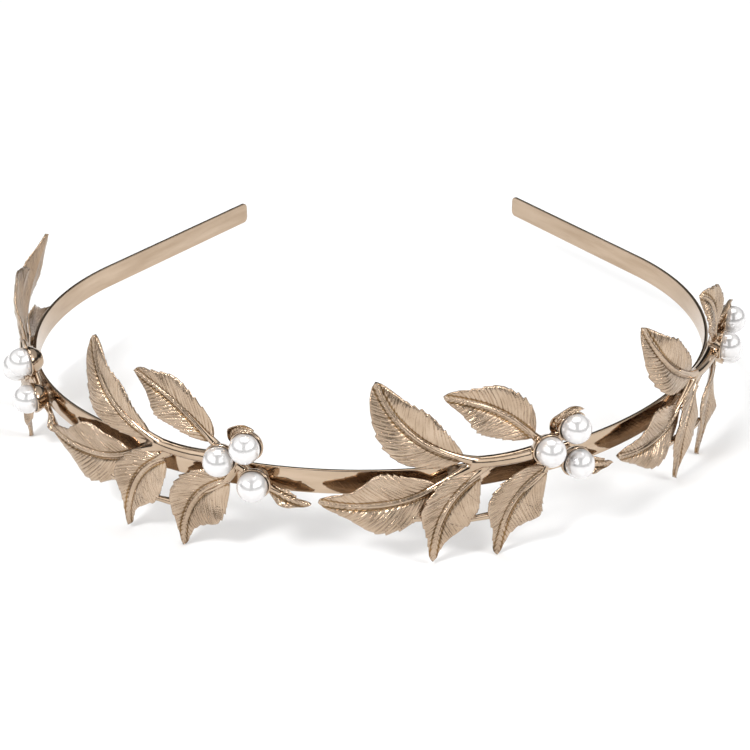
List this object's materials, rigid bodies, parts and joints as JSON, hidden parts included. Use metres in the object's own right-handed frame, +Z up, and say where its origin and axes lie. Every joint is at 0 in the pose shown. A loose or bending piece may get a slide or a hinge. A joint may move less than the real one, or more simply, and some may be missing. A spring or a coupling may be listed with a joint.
{
  "type": "bridal tiara",
  "caption": "Leaf-spray bridal tiara: a flat light-gold headband strip with cast leaf sprays and pearls soldered round its front and sides.",
  "frame": {"origin": "centre of the crown arc of the headband, half-way up the strip's width", "axes": "+Z up across the strip's width, -Y to the crown (the front of the tiara), +Y to the open ends, +X to the right seen from the front"},
  "size_m": [0.1605, 0.1498, 0.0386],
  "materials": {
    "band_gold": "polished light-gold plating",
    "cast_gold": "bright light-gold plating over a finely veined casting",
    "solder": "satin, plated over",
    "pearl": "glossy pearl coating"
  },
  "bodies": {
    "root": {"headband_strip": "band_gold", "left_side_leaf_casting": "cast_gold", "left_side_pearl_a": "pearl", "left_side_pearl_b": "pearl", "left_side_pearl_c": "pearl", "left_side_solder_pearl": "solder", "left_side_solder_stem": "solder", "left_front_leaf_casting": "cast_gold", "left_front_pearl_a": "pearl", "left_front_pearl_b": "pearl", "left_front_pearl_c": "pearl", "left_front_solder_pearl": "solder", "left_front_solder_stem": "solder", "right_front_leaf_casting": "cast_gold", "right_front_pearl_a": "pearl", "right_front_pearl_b": "pearl", "right_front_pearl_c": "pearl", "right_front_solder_pearl": "solder", "right_front_solder_stem": "solder", "right_side_leaf_casting": "cast_gold", "right_side_pearl_a": "pearl", "right_side_pearl_b": "pearl", "right_side_pearl_c": "pearl", "right_side_solder_pearl": "solder", "right_side_solder_stem": "solder"}
  },
  "joints": []
}
